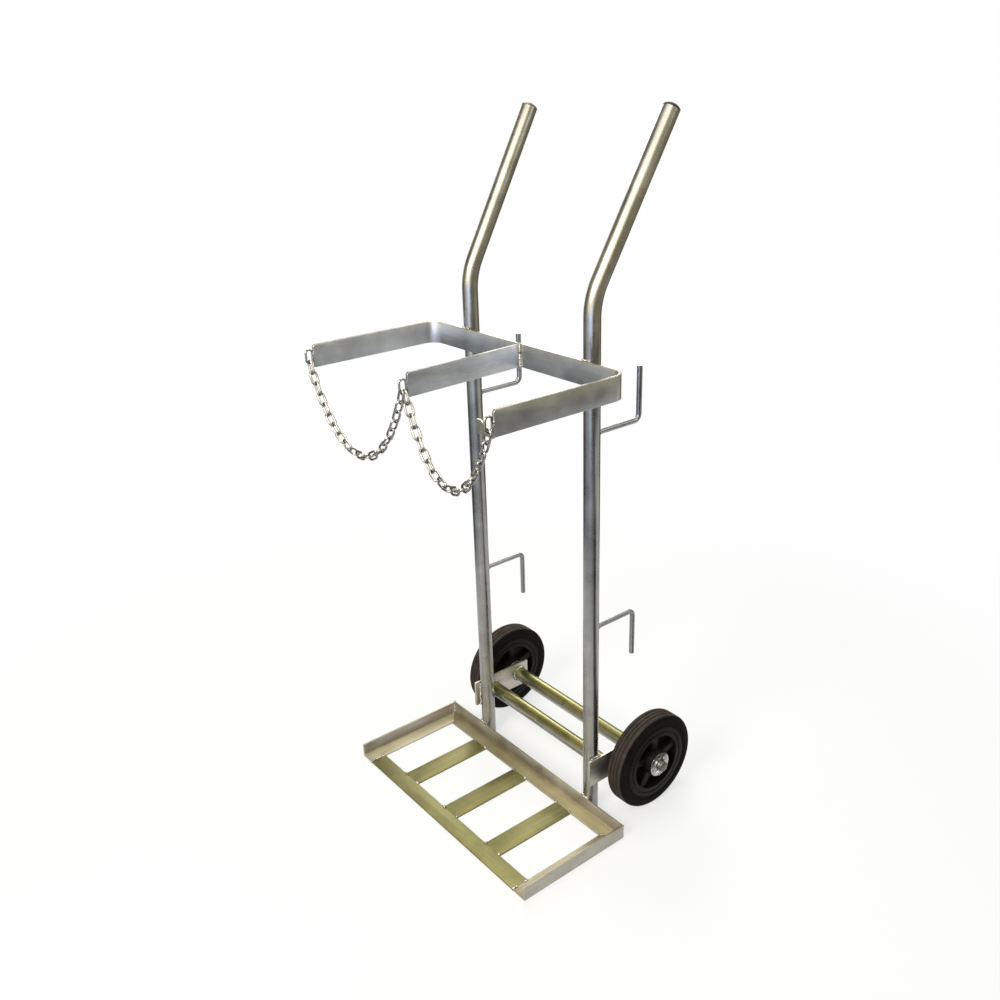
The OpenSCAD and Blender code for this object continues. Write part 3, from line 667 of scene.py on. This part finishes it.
def makeHook(side, level, look):
    low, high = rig.box(side + "_" + level + "_hook")
    radius = (high.x - low.x) / 2
    rise = 1 if level == "upper" else -1
    legY, barZ = high.y - radius, (low.z + radius if rise == 1 else high.z - radius)
    stops = bentPath(low.y, barZ, 0.0, legY - look["hookBend"] - low.y, look["hookBend"],
                     rise * math.radians(90), high.z - low.z - radius - look["hookBend"], look["bendSteps"])
    piece = sweepRound(side + level.capitalize() + "HookSwept", (low.x + high.x) / 2,
                       withEdges(stops, radius, look["edge"]), False, look)
    finishSwept(piece, side + "_" + level + "_hook", rodZinc)


for side in ("left", "right"):
    makeUpright(side, sweepLook)
    makeHook(side, "upper", sweepLook)
    makeHook(side, "lower", sweepLook)
print("uprights and hooks swept")


# ---- tyres

tyreLook = {
    "steps": 144, "smoothDegrees": 40,
    # half of the section from the hub's rim to the middle of the tread: radius and distance from the
    # wheel's middle plane in millimetres, for a wheel of 200 mm
    "halfSection": [(75.0, 19.0), (75.6, 19.9), (78.4, 20.0), (79.1, 19.3), (80.1, 19.0), (81.1, 19.3),
                    (81.9, 20.0), (85.0, 20.2), (89.0, 19.9), (92.6, 19.2), (95.6, 18.0), (97.9, 16.6),
                    (99.3, 15.1), (99.9, 13.4), (100.0, 12.0), (100.0, 9.7), (99.6, 9.25), (97.8, 8.9),
                    (97.4, 8.4), (97.4, 7.6), (97.8, 7.1), (99.6, 6.75), (100.0, 6.3), (100.0, 1.7),
                    (99.6, 1.25), (97.8, 0.9), (97.4, 0.4)],
    "treadFrom": 97.0,  # radius where the dusty tread takes over from the wall
    "wheelRadius": 100.0,
}


def lathe(name, section, middle, tread, look):
    # turns a closed section of (radius, side) points round the wheel's axis, which lies along X
    points, faces, kinds = [], [], []
    steps, count = look["steps"], len(section)
    for step in range(steps):
        angle = 2 * math.pi * step / steps
        for radius, side in section:
            points.append((middle.x + side, middle.y + radius * math.cos(angle),
                           middle.z + radius * math.sin(angle)))
    for step in range(steps):
        here, there = step * count, (step + 1) % steps * count
        for i in range(count):
            j = (i + 1) % count
            faces.append((here + i, here + j, there + j, there + i))
            kinds.append(1 if (section[i][0] + section[j][0]) / 2 > tread else 0)
    mesh = bpy.data.meshes.new(name)
    mesh.from_pydata(points, [], faces)
    mesh.materials.append(wallRubber)
    mesh.materials.append(treadRubber)
    mesh.polygons.foreach_set("material_index", kinds)
    faceOutward(mesh)
    smoothByAngle(mesh, look["smoothDegrees"])
    return newObject(name, mesh)


def makeTyre(side, look):
    low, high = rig.box(side + "_tyre")
    scale = (high.z - low.z) / 2 / look["wheelRadius"]
    half = [(r * scale, x * scale) for r, x in look["halfSection"]]
    section = half + [(r, -x) for r, x in reversed(half)]
    tyre = lathe(side + "TyreRubber", section, (low + high) / 2, look["treadFrom"] * scale, look)
    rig.ride(tyre, side + "_wheel")
    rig.replaces(tyre, side + "_tyre")
    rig.slot(tyre, "tyre_rubber")


for side in ("left", "right"):
    makeTyre(side, tyreLook)
print("tyres made")


# ---- hanging chains, one link instanced along the curve that the links settle into

linkLow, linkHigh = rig.box("left_anchor_link")
chainLook = {  # metres, as in the CAD
    "wire": linkHigh.x - linkLow.x, "gap": 0.0003, "swingGap": 0.0006, "pairSide": 0.00225,
    "lengthIn": linkHigh.z - linkLow.z - 2 * (linkHigh.x - linkLow.x),
    "widthIn": linkHigh.y - linkLow.y - 2 * (linkHigh.x - linkLow.x),
    "linksLeft": 21, "linksRight": 19,
    "steepest": 4.0, "halvings": 50,  # search for the curve: slope gained per link, and tries
    "rollDegrees": 5.0, "rollPace": 2.3, "rightPhase": 1.1,  # the links' uneven turns on their own lines
    "bowSteps": 36, "wireSteps": 12, "bowTurnDegrees": 5,
}


def linkSlope(i, count, k):
    return math.atan((i - (count - 1) / 2) * k)


def hangChain(start, end, count, outerFirst, look):
    # the joints between the swinging links, found as the CAD finds them
    step = look["lengthIn"] - look["gap"]
    low, high = 0.0, look["steepest"]
    for _ in range(look["halvings"]):
        k = (low + high) / 2
        angles = [linkSlope(i, count, k) for i in range(count)]
        lean = (look["lengthIn"] - look["swingGap"]) * math.cos(angles[0])
        hold = (look["wire"] + look["gap"]) / 2 * math.cos(angles[0])
        way = Vector((end.x - start.x + hold - 2 * lean, end.y - start.y, 0))
        low, high = (k, high) if step * sum(map(math.cos, angles[1:-1])) > way.length else (low, k)
    unit = way.normalized()
    place = Vector((start.x - outerFirst * hold + lean, start.y,
                    start.z + (look["lengthIn"] - look["swingGap"]) * math.sin(angles[0])))
    joints = [place.copy()]
    for angle in angles[1:-1]:
        place = place + unit * (step * math.cos(angle)) + Vector((0, 0, step * math.sin(angle)))
        joints.append(place.copy())
    return joints


def newGroup(name, inputs, output):
    # a node group with its named inputs, as label and kind, and one output of geometry
    tree = bpy.data.node_groups.new(name, "GeometryNodeTree")
    for label, kind in inputs.items():
        tree.interface.new_socket(label, in_out="INPUT", socket_type="NodeSocket" + kind)
    tree.interface.new_socket(output, in_out="OUTPUT", socket_type="NodeSocketGeometry")
    return tree, addNode(tree, "NodeGroupInput").outputs


def namedAttribute(tree, kind, name):
    return addNode(tree, "GeometryNodeInputNamedAttribute", {"data_type": kind, "Name": name}).outputs[0]


def coatInstances(tree, placed, finish):
    real = addNode(tree, "GeometryNodeRealizeInstances", None, {0: placed.outputs[0]})
    smooth = addNode(tree, "GeometryNodeSetShadeSmooth", None, {0: real.outputs[0]})
    coated = addNode(tree, "GeometryNodeSetMaterial", {"Material": finish}, {"Geometry": smooth.outputs[0]})
    addNode(tree, "NodeGroupOutput", None, {0: coated.outputs[0]})


def linkTree(look):
    # one link bent from a circle, placed on every point with the point's own turn
    tree, given = newGroup("chainLinks", {"Places": "Geometry", "Wire radius": "Float",
                                          "Bow radius": "Float", "Straight half": "Float"}, "Links")
    bow = addNode(tree, "GeometryNodeCurvePrimitiveCircle", {"Resolution": look["bowSteps"]},
                  {"Radius": given["Bow radius"]})
    turn = (0, 0, math.radians(look["bowTurnDegrees"]))
    turned = addNode(tree, "GeometryNodeTransform", {"Rotation": turn}, {"Geometry": bow.outputs[0]})
    spot = addNode(tree, "GeometryNodeInputPosition").outputs[0]
    side = calculate(tree, "SIGN", addNode(tree, "ShaderNodeSeparateXYZ", None, {0: spot}).outputs["X"])
    shift = calculate(tree, "MULTIPLY", side, given["Straight half"])
    offset = addNode(tree, "ShaderNodeCombineXYZ", None, {"X": shift}).outputs[0]
    drawn = addNode(tree, "GeometryNodeSetPosition", None,
                    {"Geometry": turned.outputs[0], "Offset": offset})
    profile = addNode(tree, "GeometryNodeCurvePrimitiveCircle", {"Resolution": look["wireSteps"]},
                      {"Radius": given["Wire radius"]})
    wire = addNode(tree, "GeometryNodeCurveToMesh", None,
                   {"Curve": drawn.outputs[0], "Profile Curve": profile.outputs[0]})
    placed = addNode(tree, "GeometryNodeInstanceOnPoints", None,
                     {"Points": given["Places"], "Instance": wire.outputs[0],
                      "Rotation": namedAttribute(tree, "FLOAT_VECTOR", "turn")})
    coatInstances(tree, placed, chainZinc)
    return tree


def setInputs(modifier, values):
    # a modifier's inputs go by the sockets' identifiers
    sockets = {s.name: s.identifier for s in modifier.node_group.interface.items_tree
               if s.item_type == "SOCKET" and s.in_out == "INPUT"}
    for label, value in values.items():
        modifier[sockets[label]] = value


def pointCloudMesh(name, places, turns):
    mesh = bpy.data.meshes.new(name)
    mesh.from_pydata(places, [], [])
    layer = mesh.attributes.new("turn", "FLOAT_VECTOR", "POINT")
    layer.data.foreach_set("vector", [v for turn in turns for v in turn])
    return mesh


def makeChain(side, joints, tree, look):
    places, turns = [], []
    phase = 0 if side == "left" else look["rightPhase"]
    for i, (a, b) in enumerate(zip(joints, joints[1:])):
        way = b - a
        roll = math.radians(look["rollDegrees"]) * math.sin(look["rollPace"] * i + phase)
        if i % 2:
            roll += math.pi / 2
        lie = Matrix.Rotation(math.atan2(way.y, way.x), 3, "Z")
        rise = Matrix.Rotation(-math.atan2(way.z, math.hypot(way.x, way.y)), 3, "Y")
        turns.append((lie @ rise @ Matrix.Rotation(roll, 3, "X")).to_euler("XYZ"))
        places.append((a + b) / 2)
    chain = newObject(side + "HangingChain", pointCloudMesh(side + "ChainPlaces", places, turns))
    links = chain.modifiers.new("links", "NODES")
    links.node_group = tree
    setInputs(links, {"Wire radius": look["wire"] / 2, "Bow radius": (look["widthIn"] + look["wire"]) / 2,
                      "Straight half": (look["lengthIn"] - look["widthIn"]) / 2})
    bakeModifiers(chain)
    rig.ride(chain, side + "_chain")
    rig.replaces(chain, side + "_chain")
    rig.slot(chain, "chain_steel")


def hangChains(look):
    middles = {}
    for name in ("left", "middle", "right"):
        low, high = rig.box(name + "_anchor_link")
        middles[name] = (low + high) / 2
    left, middle, right = middles["left"], middles["middle"], middles["right"]
    height = left.z - (look["lengthIn"] - look["gap"]) / 2
    leftStart, rightEnd = Vector((left.x, left.y, height)), Vector((right.x, right.y, height))
    leftEnd = Vector((middle.x, middle.y - look["pairSide"], height))
    rightStart = Vector((middle.x, middle.y + look["pairSide"], height))
    tree = linkTree(look)
    makeChain("left", hangChain(leftStart, leftEnd, look["linksLeft"], 1, look), tree, look)
    makeChain("right", hangChain(rightStart, rightEnd, look["linksRight"], 0, look), tree, look)


hangChains(chainLook)
print("chains hung")


# ---- weld beads

weldLook = {
    "pitch": 0.0016, "flatness": 0.62, "unevenness": 0.18, "seed": 7,
    "barThick": 5.0, "angleThick": 4.0, "hookRadius": 5.0,  # millimetres, as in the CAD
}


def beadTree():
    # overlapping round drops along each seam, as a hand weld leaves them
    tree, given = newGroup("weldBeads", {"Seams": "Geometry", "Pitch": "Float", "Flatness": "Float",
                                         "Unevenness": "Float", "Seed": "Int"}, "Beads")
    seam = addNode(tree, "GeometryNodeMeshToCurve", None, {"Mesh": given["Seams"]})
    even = addNode(tree, "GeometryNodeResampleCurve", {"mode": "LENGTH"},
                   {"Curve": seam.outputs[0], "Length": given["Pitch"]})
    tangent = addNode(tree, "GeometryNodeInputTangent").outputs[0]
    turn = addNode(tree, "FunctionNodeAlignEulerToVector", {"axis": "Z"}, {"Vector": tangent})
    least = calculate(tree, "SUBTRACT", 1.0, given["Unevenness"])
    most = calculate(tree, "ADD", 1.0, given["Unevenness"])
    chance = addNode(tree, "FunctionNodeRandomValue", {"data_type": "FLOAT"},
                     {2: least, 3: most, "Seed": given["Seed"]}).outputs[1]
    radius = calculate(tree, "MULTIPLY", namedAttribute(tree, "FLOAT", "size"), chance)
    thin = calculate(tree, "MULTIPLY", radius, given["Flatness"])
    shape = addNode(tree, "ShaderNodeCombineXYZ", None, {"X": radius, "Y": radius, "Z": thin})
    drop = addNode(tree, "GeometryNodeMeshIcoSphere", {"Radius": 1.0, "Subdivisions": 2})
    placed = addNode(tree, "GeometryNodeInstanceOnPoints", None,
                     {"Points": even.outputs[0], "Instance": drop.outputs[0],
                      "Rotation": turn.outputs[0], "Scale": shape.outputs[0]})
    coatInstances(tree, placed, weldMetal)
    return tree


def arc(middle, radius, first, last, normal, count=14):
    # points on an arc in degrees, in the plane across X, Y or Z
    points = []
    for i in range(count + 1):
        angle = math.radians(first + (last - first) * i / count)
        a, b = radius * math.cos(angle), radius * math.sin(angle)
        offset = {"x": (0, a, b), "y": (a, 0, b), "z": (a, b, 0)}[normal]
        points.append(tuple(m + o for m, o in zip(middle, offset)))
    return points


def bothSides(seams):
    return seams + [([(-x, y, z) for x, y, z in points], size) for points, size in seams]


def weldSeams(look):
    # every seam as its points and the bead's half width, in millimetres; the small offsets set how far
    # a bead stands out of its corner
    low = {name: [1000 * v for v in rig.box(name)[0]] for name in nodes}
    high = {name: [1000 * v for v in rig.box(name)[1]] for name in nodes}

    def middle(name, axis):
        return (low[name][axis] + high[name][axis]) / 2

    bar = look["barThick"]
    tubeR = (high["axle_tube"][2] - low["axle_tube"][2]) / 2
    wall = high["front_cross_tube"][0]
    uprightX, tubeBack = wall - tubeR, 2 * tubeR
    hoopTop, hoopLow = high["holder_hoop"][2], low["holder_hoop"][2]
    angleUp = high["base_back_angle"][2]
    cornerX, cornerY = high["base_back_angle"][0] - look["angleThick"], -look["angleThick"]
    flangeX, flangeY = high["base_front_flat"][0], high["base_middle_slat"][1]
    frontY, slatFront = low["base_front_flat"][1], low["base_middle_slat"][1]
    slatTop = high["base_middle_slat"][2]
    plateOut, plateLow, plateTop = (high["right_axle_bracket"][0], low["right_axle_bracket"][2],
                                    high["right_axle_bracket"][2])
    axleY, axleZ = middle("axle_tube", 1), middle("axle_tube", 2)
    crossY, crossZ = middle("front_cross_tube", 1), middle("front_cross_tube", 2)
    upperZ = low["right_upper_hook"][2] + look["hookRadius"]
    lowerZ = high["right_lower_hook"][2] - look["hookRadius"]
    armX, armEnd = middle("right_anchor_link", 0), low["holder_hoop"][1]
    ringZ = middle("right_anchor_link", 2)
    dividerX, dividerEnd = middle("middle_anchor_link", 0), low["holder_divider"][1]
    dividerRingZ = middle("middle_anchor_link", 2)
    hookX, hookTop = high["chain_hook_plate"][0], high["chain_hook_plate"][2] - 9
    hookFront, hookBack = low["chain_hook_plate"][1], high["chain_hook_plate"][1]

    seams = bothSides([
        # the upright on the base's back angle
        (arc((uprightX, tubeR, angleUp + 0.6), tubeR + 0.8, 232, 308, "z"), 2.7),
        ([(uprightX - 5, 1.0, 6), (uprightX - 5.2, 1.1, angleUp - 2)], 2.0),
        ([(uprightX + 5, 1.0, 6), (uprightX + 5.2, 1.1, angleUp - 2)], 2.0),
        # the holder on the upright
        (arc((uprightX, tubeR, hoopTop + 0.3), tubeR + 0.5, 236, 304, "z"), 2.3),
        (arc((uprightX, tubeR, hoopLow - 0.3), tubeR + 0.5, 240, 300, "z"), 2.0),
        ([(uprightX - 6, 0.8, hoopLow + 3), (uprightX - 6, 0.8, hoopTop - 3)], 2.1),
        ([(uprightX + 6, 0.8, hoopLow + 3), (uprightX + 6, 0.8, hoopTop - 3)], 2.1),
        # the bracket plate on the upright
        ([(wall + 0.2, 4, plateTop + 0.2), (wall - 0.3, 13, plateTop + 0.6),
          (wall, 25, plateTop + 0.2)], 2.6),
        ([(wall + 0.2, 5, plateLow - 0.2), (wall, 25, plateLow - 0.2)], 2.4),
        ([(wall - 1.6, 5.2, plateLow + 4), (wall - 1.6, 5.2, plateTop - 3)], 2.0),
        # the axle tube and the front cross tube on the plate, and the cross tube on the upright
        (arc((wall - 0.8, axleY, axleZ), tubeR + 1.0, 0, 360, "x", 40), 2.3),
        (arc((wall - 0.8, crossY, crossZ), tubeR + 0.8, -80, 200, "x", 32), 2.0),
        (arc((uprightX, tubeBack, crossZ), 6, 20, 160, "y"), 2.4),
        (arc((uprightX, tubeBack, crossZ), 6, 200, 340, "y"), 2.2),
        # the base's front flat bar in the side angle
        ([(flangeX, frontY + 1.5, slatTop), (flangeX, frontY + 9, slatTop + 0.2)], 2.6),
        ([(flangeX, frontY - 0.4, 1.5), (flangeX, frontY - 0.4, slatTop)], 1.9),
        ([(flangeX, frontY + 26, slatTop), (flangeX, slatFront - 0.5, slatTop + 0.2)], 2.2),
        ([(flangeX - 1, flangeY + 1, slatTop), (flangeX + 6, flangeY + 8, slatTop)], 1.9),
        # the hooks on the upright, and the axle's rod at the plate
        (arc((uprightX, tubeBack + 0.4, upperZ), 5.6, 0, 360, "y", 24), 1.7),
        (arc((uprightX, tubeBack + 0.4, lowerZ), 5.6, 0, 360, "y", 24), 1.7),
        (arc((plateOut + 0.4, axleY, axleZ), 14.6, 0, 360, "x", 32), 1.8),
        # the anchor link on the arm's end
        ([(armX, armEnd - 0.6, ringZ - 6), (armX, armEnd - 0.6, ringZ + 7)], 2.6),
        ([(armX + 1.4, armEnd + 0.5, ringZ - 5), (armX + 1.4, armEnd + 0.5, ringZ + 5)], 1.9),
        # the mitre at the base's back corner
        ([(cornerX - 0.3, cornerY - 0.3, 5), (cornerX - 0.3, cornerY - 0.3, angleUp)], 1.7),
        ([(cornerX + 0.5, cornerY + 0.5, angleUp), (cornerX + 3.6, cornerY + 3.4, angleUp)], 1.8),
    ])
    for side in ("left", "middle", "right"):
        name = "base_" + side + "_slat"
        for x, turn in ((low[name][0], 1), (high[name][0], -1)):
            for y, inward in ((flangeY, 1), (slatFront, -1)):
                seams.append(([(x + turn * 0.4, y - inward * 0.2, slatTop),
                               (x + turn * 4.5, y, slatTop)], 2.6))
    for turn in (-1, 1):
        x, y = turn * 3.1, -bar - 0.8
        seams.append(([(x, y, hoopLow + 1), (x, y, hoopTop - 0.5)], 3.2))
    y = dividerEnd - 0.6
    return seams + [
        ([(-2.5, -bar - 0.3, hoopTop), (2.5, -bar - 0.3, hoopTop + 0.2)], 2.7),
        ([(dividerX, y, dividerRingZ - 6), (dividerX, y, dividerRingZ + 7)], 2.6),
        # the notched plate on the arm
        ([(hookX - 0.6, hookFront + 0.2, hoopLow + 1), (hookX - 0.6, hookFront + 0.2, hookTop)], 1.9),
        ([(hookX - 0.8, hookBack + 0.6, hoopLow + 1), (hookX - 0.8, hookBack + 0.6, hookTop)], 1.9),
    ]


def makeWelds(look):
    points, edges, sizes = [], [], []
    for seam, size in weldSeams(look):
        for i, point in enumerate(seam):
            if i:
                edges.append((len(points) - 1, len(points)))
            points.append([v / 1000 for v in point])
            sizes.append(size / 1000)
    mesh = bpy.data.meshes.new("weldSeams")
    mesh.from_pydata(points, edges, [])
    layer = mesh.attributes.new("size", "FLOAT", "POINT")
    layer.data.foreach_set("value", sizes)
    welds = newObject("weldBeads", mesh)
    beads = welds.modifiers.new("beads", "NODES")
    beads.node_group = beadTree()
    setInputs(beads, {label: look[label.lower()] for label in ("Pitch", "Flatness", "Unevenness", "Seed")})
    bakeModifiers(welds)
    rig.ride(welds, "cart")
    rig.slot(welds, "bright_steel")


makeWelds(weldLook)
print("welds laid")

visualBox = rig.bounds()
with open("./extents.json", "w") as out:
    json.dump({"cad": [list(v) for v in cadBox], "visual": [list(v) for v in visualBox]}, out)
print("sizes written")
